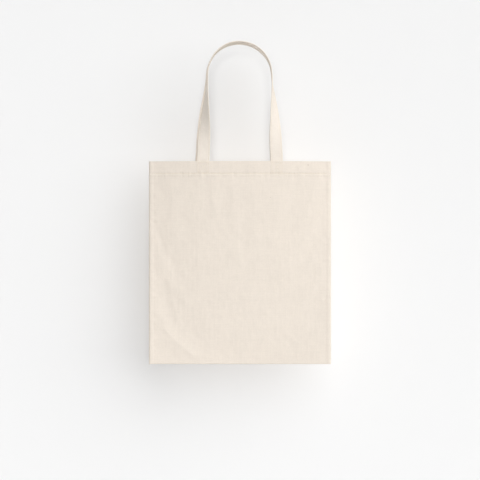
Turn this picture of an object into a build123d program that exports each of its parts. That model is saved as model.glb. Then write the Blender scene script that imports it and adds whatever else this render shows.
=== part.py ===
"""A canvas tote bag with two long sewn-on handles, hanging with its mouth a little open.

Millimetres, +Z up, +X to the right and the front panel on the -Y side. The origin is at the bottom
centre. The body is one cloth folded at the bottom. Its two panels meet in turned-in side seams,
each has a hem along the mouth, and each carries the two sewn-down ends of one handle.
"""

from build123d import *
import os
from math import cos, radians, sin, sqrt, tan

# The bag.
BAG_WIDTH = 380.0
BAG_HEIGHT = 423.0
MOUTH_DEPTH = 40.0  # front to rear across the middle of the mouth, over the cloth
CLOTH = 0.6
FOLD_HEIGHT = 6.0  # the stretch of cloth that turns round the bottom
EDGE_ROOM = 1.35  # from the middle of the bag to a panel's inner face, at the side edges

# The hem round the mouth: the cloth turned in twice.
HEM_DEPTH = 30.0
HEM_LAYERS = 2
HEM_SIDE_INSET = 13.0  # from the bag's side edge to the end of the hem, clear of the seam

# The side seams.
SEAM_ALLOWANCE = 9.0
SEAM_INSET = 0.6  # from the bag's side edge to the seam
SEAM_STITCH_INSET = 1.8  # from the bag's side edge to the row of stitches
SEAM_TOP_INSET = 1.0
OVERLOCK_WIDTH = 3.5

# The handles: flat straps of folded cloth.
STRAP_WIDTH = 26.0
STRAP_THICKNESS = 2.0
STRAP_END = 26.0  # length sewn down inside the hem
FRONT_SPACING = 153.0  # centre to centre of the front handle's two ends
REAR_SPACING = 157.0
REAR_OFFSET = -2.0  # the rear handle is sewn on this far off the bag's middle
LOOP_HEIGHT = 248.0  # from the rim to the middle of the strap at the crown
LEG_LEAN = 2.8  # degrees that each leg leans in
CROWN_TURN = 90.0  # degrees that the strap turns on its way up a leg
LEG_SECTIONS = 9

# The sewing thread, as flat lines on the cloth.
THREAD_WIDTH = 0.5
THREAD_HEIGHT = 0.3
HEM_STITCH_RISE = 4.0  # from the hem's lower edge to its row of stitches
BOX_INSET = 2.5  # from the strap end's edges to its box of stitches
EDGE_STITCH_INSET = 3.0  # from the strap's edges to the rows along it

# Clearances.
LAYER_GAP = 0.1  # between layers of cloth that lie on each other
THREAD_GAP = 0.05  # between a thread and its cloth
MOVE_GAP = 0.3  # between a panel and the bottom fold, and beside the hem's thread
BEND_GAP = 0.5  # between a handle and the rim, where it bends over
CROWN_GAP = 2.0  # between the two handles' crowns, which stand side by side

FRONT = -1
REAR = 1
LEFT = -1
RIGHT = 1
SIDE_NAMES = {FRONT: "front", REAR: "rear"}
HAND_NAMES = {LEFT: "left", RIGHT: "right"}

HALF_WIDTH = BAG_WIDTH / 2
EDGE_REACH = EDGE_ROOM + CLOTH
THREAD_RISE = THREAD_GAP + THREAD_HEIGHT
HEM_THICKNESS = HEM_LAYERS * CLOTH
# Depths of the layers behind a panel's outer face.
HEM_INSET = CLOTH + LAYER_GAP
STRAP_INSET = HEM_INSET + HEM_THICKNESS + LAYER_GAP
BOX_REAR_INSET = STRAP_INSET + STRAP_THICKNESS + THREAD_GAP
HEM_END = HALF_WIDTH - HEM_SIDE_INSET
SEAM_OUTER = HALF_WIDTH - SEAM_INSET
SEAM_INNER = SEAM_OUTER - SEAM_ALLOWANCE
SEAM_HALF = CLOTH + THREAD_GAP
SEAM_BOTTOM = FOLD_HEIGHT + MOVE_GAP
SEAM_HEIGHT = BAG_HEIGHT - SEAM_TOP_INSET - SEAM_BOTTOM
STRAP_LOW = BAG_HEIGHT - STRAP_END


def save(piece, name):
    """Labels a finished piece and writes it as parts/name.step."""
    piece.part.label = name
    export_step(piece.part, f"parts/{name}.step")


def reach(x, z):
    """Distance from the middle of the bag to a panel's outer face, at x and height z."""
    bow = (MOUTH_DEPTH / 2 - EDGE_REACH) * (z - FOLD_HEIGHT) / (BAG_HEIGHT - FOLD_HEIGHT)
    radius = (HALF_WIDTH**2 + bow**2) / (2 * bow)
    return EDGE_REACH + bow - radius + sqrt(radius**2 - x**2)


def cloth_layer(side, z_low, z_high, x_low, x_high, inset, thickness):
    """A layer that follows a panel, with its outer side at inset behind the panel's outer face."""
    x_middle = (x_low + x_high) / 2
    with BuildPart() as layer:
        for z in (z_low, z_high):
            outer = [(x, side * (reach(x, z) - inset)) for x in (x_low, x_middle, x_high)]
            inner = [(x, y - side * thickness) for x, y in outer]
            with BuildSketch(Plane.XY.offset(z)):
                with BuildLine():
                    ThreePointArc(*outer)
                    ThreePointArc(*inner)
                    Line(outer[0], inner[0])
                    Line(outer[2], inner[2])
                make_face()
        loft(ruled=True)
    return layer


def strap_anchors(side):
    """x of the left and right ends of one handle, with their hands."""
    spacing, middle = (FRONT_SPACING, 0) if side == FRONT else (REAR_SPACING, REAR_OFFSET)
    return {LEFT: middle - spacing / 2, RIGHT: middle + spacing / 2}


def strap_run(side, across, lift, width, thickness):
    """A flat run along a whole handle: two twisted legs and a round crown, tangent to each other.

    The run is moved across the strap's width and lifted off its middle, towards its outer face.
    """
    anchors = strap_anchors(side)
    spacing = anchors[RIGHT] - anchors[LEFT]
    middle = (anchors[RIGHT] + anchors[LEFT]) / 2
    lean = radians(LEG_LEAN)
    radius = (spacing / 2 - LOOP_HEIGHT * tan(lean)) / (1 / cos(lean) - tan(lean))
    leg_length = (LOOP_HEIGHT - radius + radius * sin(lean)) / cos(lean)
    seat_depth = reach(spacing / 2, BAG_HEIGHT) - STRAP_INSET - STRAP_THICKNESS / 2
    crown_depth = (STRAP_WIDTH + CROWN_GAP) / 2
    start = BEND_GAP + STRAP_WIDTH / 2 * sin(lean)

    with BuildPart() as run:
        for hand, anchor in anchors.items():
            along = Vector(-hand * sin(lean), 0, cos(lean))
            inward = Vector(-hand * cos(lean), 0, -sin(lean))
            for step in range(LEG_SECTIONS):
                share = step / (LEG_SECTIONS - 1)
                ease = share**2 * (3 - 2 * share)
                turn = radians(CROWN_TURN) * ease
                climb = start + (leg_length - start) * share
                depth = seat_depth + (crown_depth - seat_depth) * ease
                section = Plane(
                    origin=Vector(anchor, side * depth, BAG_HEIGHT) + along * climb,
                    x_dir=inward * cos(turn) + Vector(0, side, 0) * sin(turn),
                    z_dir=along,
                )
                with BuildSketch(section):
                    with Locations((across, -hand * side * lift)):
                        Rectangle(width, thickness)
            loft()
        with BuildSketch(Plane.XZ.offset(-side * (crown_depth + across))):
            with BuildLine():
                centre = (middle, BAG_HEIGHT + LOOP_HEIGHT - radius)
                arc_size = 180 - 2 * LEG_LEAN
                outer = CenterArc(centre, radius + lift + thickness / 2, LEG_LEAN, arc_size)
                inner = CenterArc(centre, radius + lift - thickness / 2, LEG_LEAN, arc_size)
                Line(outer @ 0, inner @ 0)
                Line(outer @ 1, inner @ 1)
            make_face()
        extrude(amount=width / 2, both=True)
    return run


def make_bottom_fold():
    """The stretch of cloth that turns round the bottom, as a trough rounded underneath."""
    with BuildPart() as fold:
        with BuildSketch(Plane.YZ.offset(-HALF_WIDTH)):
            with Locations((0, FOLD_HEIGHT / 2)):
                Rectangle(2 * EDGE_REACH, FOLD_HEIGHT)
        extrude(amount=BAG_WIDTH)
        fillet(fold.edges().filter_by(Axis.X).group_by(Axis.Z)[0], radius=EDGE_ROOM)
        with BuildSketch(Plane.YZ.offset(-HALF_WIDTH)):
            with Locations((0, (FOLD_HEIGHT + CLOTH) / 2)):
                Rectangle(2 * EDGE_ROOM, FOLD_HEIGHT - CLOTH)
        extrude(amount=BAG_WIDTH, mode=Mode.SUBTRACT)
    save(fold, "bottom_fold")


def make_side_seam(hand):
    """One side seam: both turned-in allowances, the overlock round their edge and the stitches."""
    with BuildPart() as allowance:
        with BuildSketch(Plane.XY.offset(SEAM_BOTTOM)):
            with Locations((hand * (SEAM_INNER + SEAM_OUTER) / 2, 0)):
                Rectangle(SEAM_ALLOWANCE, 2 * SEAM_HALF)
        extrude(amount=SEAM_HEIGHT)
    save(allowance, f"{HAND_NAMES[hand]}_side_seam")

    with BuildPart() as overlock:
        with BuildSketch(Plane.XY.offset(SEAM_BOTTOM)):
            with Locations((hand * (SEAM_INNER - THREAD_RISE + OVERLOCK_WIDTH / 2), 0)):
                Rectangle(OVERLOCK_WIDTH, 2 * (SEAM_HALF + THREAD_RISE))
            with Locations((hand * (SEAM_INNER - THREAD_GAP + OVERLOCK_WIDTH / 2), 0)):
                Rectangle(OVERLOCK_WIDTH, 2 * (SEAM_HALF + THREAD_GAP), mode=Mode.SUBTRACT)
        extrude(amount=SEAM_HEIGHT)
    save(overlock, f"{HAND_NAMES[hand]}_overlock_thread")

    row = SEAM_HALF + THREAD_GAP + THREAD_HEIGHT / 2
    x = hand * (HALF_WIDTH - SEAM_STITCH_INSET)
    with BuildPart() as stitches:
        with BuildSketch(Plane.XY.offset(SEAM_BOTTOM)):
            with Locations((x, -row), (x, row)):
                Rectangle(THREAD_WIDTH, THREAD_HEIGHT)
        extrude(amount=SEAM_HEIGHT)
    save(stitches, f"{HAND_NAMES[hand]}_seam_stitches")


def make_hem_stitches(side):
    """The hem's row of stitches: needle thread on the panel, bobbin thread on the hem inside.

    The bobbin thread shows between the sewn-down ends of the handle, and they cover the rest.
    """
    low = BAG_HEIGHT - HEM_DEPTH + HEM_STITCH_RISE
    high = low + THREAD_WIDTH
    inner_inset = HEM_INSET + HEM_THICKNESS + THREAD_GAP
    clear = STRAP_WIDTH / 2 + MOVE_GAP
    left, right = strap_anchors(side).values()
    gaps = [(-HEM_END, left - clear), (left + clear, right - clear), (right + clear, HEM_END)]
    needle = cloth_layer(side, low, high, -HEM_END, HEM_END, -THREAD_RISE, THREAD_HEIGHT)
    bobbin = [cloth_layer(side, low, high, *gap, inner_inset, THREAD_HEIGHT) for gap in gaps]
    with BuildPart() as stitches:
        for thread in (needle, *bobbin):
            add(thread.part)
    save(stitches, f"{SIDE_NAMES[side]}_hem_stitches")


def make_box_stitch(side, hand, x):
    """A box of stitches with a cross in it, outside on the panel and inside on the strap's end."""
    half = STRAP_WIDTH / 2 - BOX_INSET
    half_height = STRAP_END / 2 - BOX_INSET
    middle = STRAP_LOW + STRAP_END / 2
    low, high = middle - half_height, middle + half_height
    films = [
        cloth_layer(side, low, high, x - half, x + half, inset, THREAD_HEIGHT)
        for inset in (-THREAD_RISE, BOX_REAR_INSET)
    ]
    with BuildPart() as box:
        for film in films:
            add(film.part)
        with BuildSketch(Plane.XZ.offset(-MOUTH_DEPTH)):
            inner_half = half - THREAD_WIDTH
            inner_height = half_height - THREAD_WIDTH
            with Locations((x, middle)):
                Rectangle(2 * half, 2 * half_height)
                Rectangle(2 * inner_half, 2 * inner_height, mode=Mode.SUBTRACT)
            for rise in (-inner_height, inner_height):
                with BuildLine():
                    diagonal = Line((x - inner_half, middle - rise), (x + inner_half, middle + rise))
                trace(diagonal, line_width=THREAD_WIDTH)
        extrude(amount=2 * MOUTH_DEPTH, mode=Mode.INTERSECT)
    save(box, f"{SIDE_NAMES[side]}_{HAND_NAMES[hand]}_box_stitch")


def make_panel(side):
    """One panel of the body, its hem and the hem's stitches."""
    hem_low = BAG_HEIGHT - HEM_DEPTH
    panel = cloth_layer(side, SEAM_BOTTOM, BAG_HEIGHT, -HALF_WIDTH, HALF_WIDTH, 0, CLOTH)
    save(panel, f"{SIDE_NAMES[side]}_panel")
    hem = cloth_layer(side, hem_low, BAG_HEIGHT, -HEM_END, HEM_END, HEM_INSET, HEM_THICKNESS)
    save(hem, f"{SIDE_NAMES[side]}_hem")
    make_hem_stitches(side)


def make_handle(side):
    """One handle: its loop, the rows of stitches along it, and its two sewn-down ends."""
    half = STRAP_WIDTH / 2
    for hand, x in strap_anchors(side).items():
        end = cloth_layer(
            side, STRAP_LOW, BAG_HEIGHT, x - half, x + half, STRAP_INSET, STRAP_THICKNESS
        )
        save(end, f"{SIDE_NAMES[side]}_{HAND_NAMES[hand]}_strap_end")
        make_box_stitch(side, hand, x)

    save(strap_run(side, 0, 0, STRAP_WIDTH, STRAP_THICKNESS), f"{SIDE_NAMES[side]}_handle")

    row = half - EDGE_STITCH_INSET
    lift = STRAP_THICKNESS / 2 + THREAD_GAP + THREAD_HEIGHT / 2
    threads = [
        strap_run(side, edge * row, face * lift, THREAD_WIDTH, THREAD_HEIGHT)
        for edge in (-1, 1)
        for face in (-1, 1)
    ]
    with BuildPart() as stitches:
        for thread in threads:
            add(thread.part)
    save(stitches, f"{SIDE_NAMES[side]}_handle_stitches")


os.makedirs("parts", exist_ok=True)
make_bottom_fold()
for seam_hand in (LEFT, RIGHT):
    make_side_seam(seam_hand)
for bag_side in (FRONT, REAR):
    make_panel(bag_side)
    make_handle(bag_side)
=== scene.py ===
"""Looks of a natural canvas tote bag, hanging by its two handles, around its CAD frame.

The body is one sheet of canvas: it runs up each panel, rolls over the rim and turns in twice as the
hem. Every piece is in metres, in the frame's own place. Lengths in millimetres are multiplied by MM.
"""

from functools import partial
from math import cos, pi, radians, sin, tan

import bpy
import numpy as np
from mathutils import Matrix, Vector


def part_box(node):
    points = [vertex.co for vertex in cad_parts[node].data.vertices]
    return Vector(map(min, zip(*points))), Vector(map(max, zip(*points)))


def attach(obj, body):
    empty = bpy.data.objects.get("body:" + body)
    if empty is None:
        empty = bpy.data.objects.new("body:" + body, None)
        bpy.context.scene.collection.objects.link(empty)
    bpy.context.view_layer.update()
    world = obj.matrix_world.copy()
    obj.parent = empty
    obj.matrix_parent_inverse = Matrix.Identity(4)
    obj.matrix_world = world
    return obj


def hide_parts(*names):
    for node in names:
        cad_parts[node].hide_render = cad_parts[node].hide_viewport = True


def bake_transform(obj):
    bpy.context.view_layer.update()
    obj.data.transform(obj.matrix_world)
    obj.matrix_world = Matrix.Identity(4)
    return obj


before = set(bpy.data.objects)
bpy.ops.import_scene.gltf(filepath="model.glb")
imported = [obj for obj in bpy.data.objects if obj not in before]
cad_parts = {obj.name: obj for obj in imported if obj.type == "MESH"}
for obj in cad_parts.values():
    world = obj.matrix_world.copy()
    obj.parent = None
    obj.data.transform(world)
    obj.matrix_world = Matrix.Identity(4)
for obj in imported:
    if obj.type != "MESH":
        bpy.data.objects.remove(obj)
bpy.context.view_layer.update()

bl_info = {
    "name": "Canvas Tote Bag",
    "version": (1, 0, 0),
    "blender": (4, 5, 0),
    "location": "3D Viewport > Sidebar > Tote Bag",
    "description": "Builds a hanging canvas tote bag from cloth, straps and stitches",
    "category": "Add Mesh",
}

MM = 0.001

# Places and sizes that the frame gives.
PANEL_LOW, PANEL_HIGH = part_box("front_panel")
FOLD_LOW, FOLD_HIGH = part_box("bottom_fold")
SEAM_LOW, SEAM_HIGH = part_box("right_side_seam")
HALF_WIDTH = PANEL_HIGH.x
RIM = PANEL_HIGH.z
MOUTH_REACH = -PANEL_LOW.y
EDGE_REACH = FOLD_HIGH.y
FOLD_TOP = FOLD_HIGH.z
HEM_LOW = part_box("front_hem")[0].z
HEM_ROW = sum(corner.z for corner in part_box("front_hem_stitches")) / 2
HANDLE_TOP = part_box("front_handle")[1].z
STRAP_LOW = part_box("front_left_strap_end")[0].z

# Cloth and strap, as the real ones are folded.
CLOTH = 0.6 * MM
LAYER_GAP = 0.1 * MM
HEM_DEPTH_INSIDE = 3 * CLOTH + LAYER_GAP  # from the panel's outer face to the hem's inner face
STRAP_THICKNESS = 2.0 * MM
STRAP_DEPTH = HEM_DEPTH_INSIDE + LAYER_GAP + STRAP_THICKNESS / 2  # to the middle of a strap's end
LEG_LEAN = radians(2.8)
CROWN_GAP = 2.0 * MM

# Where one piece of the cloth's sheet ends and the next begins.
BOTTOM_SPLIT = FOLD_TOP + 0.5 * MM
ROLL_RADIUS = (HEM_DEPTH_INSIDE - CLOTH) / 2  # middle of the cloth as it rolls over the rim
ROLL_HEIGHT = RIM - ROLL_RADIUS - CLOTH / 2

# How far apart the cloth's grid points are, and how much closer near the hem's row and edges.
CLOTH_STEP = 2.4 * MM
HEM_STEP = 0.6 * MM
HEM_REACH = 2.6 * MM
ROLL_STEPS = 10  # round the rim

STRAP_ROW_INSET = 3.0 * MM  # from a strap's edge to its row of stitches
STRAP_ROW_DIP = 0.28 * MM  # how deep the row pulls the strap in
STRAP_THREAD_SINK = 0.24 * MM  # and how deep its thread lies

HANG_FRAMES = 22  # frames of simulation that the cloth is left to hang for

# Where each kind of random draw starts. A side or a hand is added, so no two of a kind are alike.
SEED = {
    "hem": 5,
    "shake": 11,
    "box": 31,
    "fuzz": 33,
    "relief": 40,
    "strap": 51,
    "seam": 61,
    "allowance": 70,
    "wraps": 71,
    "loops": 75,
    "sway": 90,
}

FRONT, REAR = -1, 1
LEFT, RIGHT = -1, 1
SIDES = {FRONT: "front", REAR: "rear"}
HANDS = {LEFT: "left", RIGHT: "right"}

# Long soft creases of each panel: start and end as x and z in metres, then width and depth in
# millimetres before CREASE_SHARE of the depth is taken.
CREASE_SHARE = 0.65
CREASES = {
    FRONT: (
        ((-0.172, 0.088), (-0.086, 0.012), 5.0, 0.75),
        ((-0.150, 0.190), (-0.118, 0.060), 6.0, 0.45),
        ((-0.178, 0.330), (-0.138, 0.215), 5.5, 0.45),
        ((0.020, 0.150), (0.128, 0.030), 7.0, 0.30),
        ((-0.062, 0.372), (-0.020, 0.250), 7.0, 0.30),
        ((0.112, 0.350), (0.158, 0.200), 7.0, 0.35),
    ),
    REAR: (
        ((-0.168, 0.250), (-0.060, 0.190), 6.0, 0.55),
        ((0.066, 0.370), (0.142, 0.205), 6.0, 0.45),
        ((0.170, 0.100), (0.080, 0.020), 5.0, 0.60),
        ((-0.140, 0.120), (-0.030, 0.040), 7.0, 0.40),
    ),
}

# Filled by the cloth's operator and read by those that lie on the cloth.
SURFACE = {}


# ---------------------------------------------------------------- numbers


def smooth(t):
    """Eases from 0 to 1 as t does, flat at both ends."""
    t = np.clip(t, 0, 1)
    return t * t * (3 - 2 * t)


def bell(distance, width):
    """1 at no distance, fading over a width."""
    return np.exp(-((distance / width) ** 2))


def spaced(low, high, step, fine_step, places, reach_of_fine):
    """Positions from low to high, a step apart, and closer around the named places."""
    line = np.linspace(low, high, 4000)
    density = np.full_like(line, 1 / step)
    for place in places:
        near = bell(line - place, reach_of_fine)
        density = np.maximum(density, near / fine_step)
    count = running((density[1:] + density[:-1]) / 2 * np.diff(line))
    return np.interp(np.linspace(0, count[-1], int(count[-1]) + 2), count, line)


def soft_noise(shape_u, shape_v, cell, seed):
    """Smooth noise of about -1 to 1 at points (u, v), with bumps about a cell across."""
    random = np.random.default_rng(seed)
    total = np.zeros(np.broadcast(shape_u, shape_v).shape)
    for _ in range(14):
        angle, phase = random.uniform(0, 2 * pi, 2)
        length = cell * random.uniform(1.3, 3.2)
        total += np.sin(2 * pi * (shape_u * cos(angle) + shape_v * sin(angle)) / length + phase)
    return total / 3.7


def running(steps):
    """The length so far at each point of a line, from the lengths of its steps."""
    return np.concatenate([[0], np.cumsum(steps)])


def round_off(from_edge, radius, limit):
    """Share of the thickness left near a round edge, where limit keeps a little of it."""
    return np.sqrt(1 - np.clip(1 - from_edge / radius, 0, limit) ** 2)


# ---------------------------------------------------------------- meshes


def new_object(name, data):
    """A new object in the scene."""
    piece = bpy.data.objects.new(name, data)
    bpy.context.scene.collection.objects.link(piece)
    return piece


def uv_grid(across, along):
    """The UV map of a flat cloth, from its columns' and its rows' places in metres."""
    return np.stack(np.broadcast_arrays(across[None, :], along[:, None]), axis=2)


def make_object(name, vertices, faces, material, normals=None, uvs=None):
    """A mesh object at the origin, with smooth faces that point outwards."""
    mesh = bpy.data.meshes.new(name)
    a, b, c = (vertices[faces[:, i]] for i in range(3))
    d = vertices[faces[:, 3]]
    volume = (a * np.cross(b, c)).sum() + (a * np.cross(c, d)).sum()
    if volume < 0:
        faces = faces[:, ::-1]
    mesh.from_pydata(vertices.tolist(), [], faces.tolist())
    mesh.shade_smooth()
    if uvs is not None:
        layer = mesh.uv_layers.new(name="cloth")
        layer.data.foreach_set("uv", uvs[faces.ravel()].astype(np.float32).ravel())
    if normals is not None:
        mesh.normals_split_custom_set_from_vertices(normals.tolist())
    mesh.materials.append(material)
    return new_object(name, mesh)


def two_faces(outer, inner):
    """Both faces of a cloth as grids of points, each with the unit normals that point away."""
    faces = []
    for grid, away in ((outer, outer - inner), (inner, inner - outer)):
        normal = np.cross(np.gradient(grid, axis=0), np.gradient(grid, axis=1))
        normal /= np.maximum(np.linalg.norm(normal, axis=2, keepdims=True), 1e-12)
        faces.append((grid, normal * np.sign((normal * away).sum())))
    return faces


def sheet_piece(name, faces, uv, material):
    """A closed piece of cloth between two faces, each a grid of points with its normals."""
    (outer, outer_normal), (inner, inner_normal) = faces
    rows, columns = outer.shape[:2]
    index = np.arange(rows * columns).reshape(rows, columns)
    quads = [index[:-1, :-1], index[:-1, 1:], index[1:, 1:], index[1:, :-1]]
    skin = np.stack(quads, axis=2).reshape(-1, 4)
    back = skin[:, ::-1] + rows * columns
    loop = np.concatenate([index[0, :-1], index[:-1, -1], index[-1, :0:-1], index[:0:-1, 0]])
    after = np.roll(loop, -1)
    rim = np.stack([after, loop, loop + rows * columns, after + rows * columns], axis=1)
    vertices = np.concatenate([outer.reshape(-1, 3), inner.reshape(-1, 3)])
    normals = np.concatenate([outer_normal.reshape(-1, 3), inner_normal.reshape(-1, 3)])
    uvs = np.concatenate([uv.reshape(-1, 2)] * 2)
    return make_object(name, vertices, np.concatenate([skin, back, rim]), material, normals, uvs)


def part_of(faces, rows, columns):
    """The same rows and columns of both faces of a sheet and of their normals."""
    return [tuple(grid[rows, columns] for grid in face) for face in faces]


# ---------------------------------------------------------------- materials


def linear(colour):
    """An sRGB hex colour, such as "#e9dfd2", as linear RGBA."""
    values = [int(colour[i : i + 2], 16) / 255 for i in (1, 3, 5)]
    return [v / 12.92 if v <= 0.04045 else ((v + 0.055) / 1.055) ** 2.4 for v in values] + [1.0]


def add_node(tree, kind, inputs=(), **settings):
    """Adds one node. inputs maps a socket to its value, or to the node or output that feeds it."""
    node = tree.nodes.new(kind)
    for name, value in settings.items():
        setattr(node, name, value)
    for socket, value in dict(inputs).items():
        if isinstance(value, bpy.types.Node):
            value = value.outputs[0]
        if isinstance(value, bpy.types.NodeSocket):
            tree.links.new(value, node.inputs[socket])
        else:
            node.inputs[socket].default_value = value
    return node


def new_material(name):
    """An empty material, and add_node for its tree."""
    material = bpy.data.materials.new(name)
    material.use_nodes = True
    material.node_tree.nodes.clear()
    return material, partial(add_node, material.node_tree)


def canvas_material(name, colour, weave, slub_strength, fleck_share):
    """Unbleached cotton canvas: plain woven, so dull, dry and a little fuzzy.

    Slubs streak it along both threads, and bits of seed husk show as brown flecks. The weave's
    0.55 mm thread spacing is too fine to show, so weave draws it coarser.
    """
    material, add = new_material(name)
    cloth = add("ShaderNodeUVMap", uv_map="cloth")

    # Threads wander a little from a straight grid, and go over and under each other in turn.
    wander = add("ShaderNodeTexNoise", {"Vector": cloth, "Scale": 1 / (9 * MM), "Detail": 2.0})
    woven = add(
        "ShaderNodeVectorMath",
        {0: wander.outputs["Color"], 1: (1.6 * weave,) * 3, 2: cloth},
        operation="MULTIPLY_ADD",
    )
    place = add("ShaderNodeSeparateXYZ", {0: woven})
    waves = []
    for axis in ("X", "Y"):
        turn = add("ShaderNodeMath", {0: place.outputs[axis], 1: pi / weave}, operation="MULTIPLY")
        waves.append(add("ShaderNodeMath", {0: turn}, operation="SINE"))
    both = add("ShaderNodeMath", {0: waves[0], 1: waves[1]}, operation="MULTIPLY")
    over = add("ShaderNodeMath", {0: both, 1: 0.5, 2: 0.5}, operation="MULTIPLY_ADD")
    under = add("ShaderNodeMath", {0: 1.0, 1: over}, operation="SUBTRACT")
    heights = []
    for wave, share in zip(waves, (over, under)):
        round_thread = add("ShaderNodeMath", {0: wave}, operation="ABSOLUTE")
        heights.append(add("ShaderNodeMath", {0: round_thread, 1: share}, operation="MULTIPLY"))
    thread = add("ShaderNodeMath", {0: heights[0], 1: heights[1]}, operation="MAXIMUM")

    # Slubs are long thick places in single threads, down and across; patches are broad unevenness
    # and fibres are fine. Each has the width and length of its cells in millimetres, its detail and
    # where in the noise it lies.
    fields = {
        "slubs_down": (1.5, 34, 3.0, 3.1),
        "slubs_across": (30, 1.5, 3.0, 8.7),
        "patches": (26, 34, 3.0, 1.3),
        "fibres": (3.2, 4.4, 4.0, 5.9),
    }
    noise = {}
    for field, (across, along, detail, offset) in fields.items():
        scale = (1 / (across * MM), 1 / (along * MM), 1)
        cells = add("ShaderNodeMapping", {"Vector": cloth, "Scale": scale, "Location": (offset,) * 3})
        inputs = {"Vector": cells, "Scale": 1.0, "Detail": detail, "Roughness": 0.6}
        noise[field] = add("ShaderNodeTexNoise", inputs)
    slubs = add(
        "ShaderNodeMath", {0: noise["slubs_down"], 1: noise["slubs_across"]}, operation="ADD"
    )
    slub = add("ShaderNodeMath", {0: slubs, 1: 0.5}, operation="MULTIPLY")

    # Each makes the cloth a little darker or lighter: the range it is read over, then its effect at
    # the two ends of that range.
    shades = (
        # The weave's low places, its gaps and where a thread dives under, are painted up to 7% darker:
        # painted shade.
        (thread, 0.0, 0.7, 0.93, 1.0),
        (slub, 0.32, 0.68, -slub_strength, slub_strength),
        (noise["patches"], 0.3, 0.7, -0.016, 0.016),
        (noise["fibres"], 0.3, 0.7, -0.018, 0.018),
    )
    tone = None
    for value, low, high, darkest, lightest in shades:
        inputs = {"Value": value, "From Min": low, "From Max": high, "To Min": darkest, "To Max": lightest}
        shade = add("ShaderNodeMapRange", inputs)
        tone = add("ShaderNodeMath", {0: tone, 1: shade}, operation="ADD") if tone else shade
    toned = add("ShaderNodeVectorMath", {0: colour[:3], "Scale": tone}, operation="SCALE")

    # Husk flecks: a few cells of a cell pattern hold one spot each, mostly small.
    cells = add("ShaderNodeTexVoronoi", {"Vector": woven, "Scale": 1 / (13 * MM), "Randomness": 1.0})
    chance = add("ShaderNodeSeparateColor", {0: cells.outputs["Color"]})
    mostly_small = add("ShaderNodeMath", {0: chance.outputs["Green"], 1: 3.0}, operation="POWER")
    size = add("ShaderNodeMapRange", {"Value": mostly_small, "To Min": 0.022, "To Max": 0.10})
    spot = add("ShaderNodeMath", {0: cells.outputs["Distance"], 1: size}, operation="LESS_THAN")
    held = add(
        "ShaderNodeMath", {0: chance.outputs["Red"], 1: 1 - fleck_share}, operation="GREATER_THAN"
    )
    depth = add("ShaderNodeMapRange", {"Value": chance.outputs["Blue"], "To Min": 0.35, "To Max": 0.9})
    fleck = add("ShaderNodeMath", {0: spot, 1: held}, operation="MULTIPLY")
    fleck = add("ShaderNodeMath", {0: fleck, 1: depth}, operation="MULTIPLY")
    # Sockets 0, 6 and 7 of a colour mix are its factor and its two colours.
    husk = linear("#8a6a4a")
    coloured = add("ShaderNodeMix", {0: fleck, 6: toned, 7: husk}, data_type="RGBA")

    height = add("ShaderNodeMath", {0: thread, 1: 0.55}, operation="MULTIPLY")
    height = add("ShaderNodeMath", {0: slub, 1: 0.9, 2: height}, operation="MULTIPLY_ADD")
    height = add("ShaderNodeMath", {0: noise["fibres"], 1: 0.25, 2: height}, operation="MULTIPLY_ADD")
    bump = add("ShaderNodeBump", {"Height": height, "Strength": 0.55, "Distance": 0.22 * MM})
    inputs = {"Value": slub, "From Min": 0.3, "From Max": 0.7, "To Min": 0.86, "To Max": 0.96}
    shader = add(
        "ShaderNodeBsdfPrincipled",
        {
            "Base Color": coloured.outputs[2],
            "Roughness": add("ShaderNodeMapRange", inputs),
            "Normal": bump,
            "Specular IOR Level": 0.28,
            "Sheen Weight": 0.16,
            "Sheen Roughness": 0.55,
            "Sheen Tint": linear("#fff4e2"),
        },
    )
    add("ShaderNodeOutputMaterial", {"Surface": shader})
    return material


def thread_material(name, colour, twist):
    """Spun sewing thread: smoother than the cloth, with a soft shine and ridges from its twist."""
    material, add = new_material(name)
    place = add("ShaderNodeTexCoord").outputs["Object"]
    wave = add(
        "ShaderNodeTexWave",
        {"Vector": place, "Scale": 1 / twist, "Distortion": 1.2, "Detail": 1.0},
        bands_direction="DIAGONAL",
    )
    fuzz = add("ShaderNodeTexNoise", {"Vector": place, "Scale": 1 / (6 * MM), "Detail": 3.0})
    inputs = {"Value": fuzz, "From Min": 0.3, "From Max": 0.7, "To Min": 0.94, "To Max": 1.03}
    shade = add("ShaderNodeMapRange", inputs)
    toned = add("ShaderNodeVectorMath", {0: colour[:3], "Scale": shade}, operation="SCALE")
    ridges = {"Height": wave.outputs["Fac"], "Strength": 0.4, "Distance": 0.05 * MM}
    shader = add(
        "ShaderNodeBsdfPrincipled",
        {
            "Base Color": toned,
            "Roughness": 0.62,
            "Normal": add("ShaderNodeBump", ridges),
            "Specular IOR Level": 0.4,
            "Sheen Weight": 0.12,
        },
    )
    add("ShaderNodeOutputMaterial", {"Surface": shader})
    return material


def plain_material(name, colour, roughness, clear_behind=False):
    """Matt paint for the stage. It can be clear from behind, and let light through to the bag."""
    material, add = new_material(name)
    paint = {"Base Color": colour, "Roughness": roughness, "Specular IOR Level": 0.0}
    shader = add("ShaderNodeBsdfPrincipled", paint)
    if clear_behind:
        behind = add("ShaderNodeNewGeometry").outputs["Backfacing"]
        light = add("ShaderNodeLightPath").outputs["Is Shadow Ray"]
        clear = add("ShaderNodeMath", {0: behind, 1: light}, operation="MAXIMUM")
        nothing = add("ShaderNodeBsdfTransparent")
        shader = add("ShaderNodeMixShader", {0: clear, 1: shader, 2: nothing})
    add("ShaderNodeOutputMaterial", {"Surface": shader})
    return material


# ---------------------------------------------------------------- the body's cloth


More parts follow.
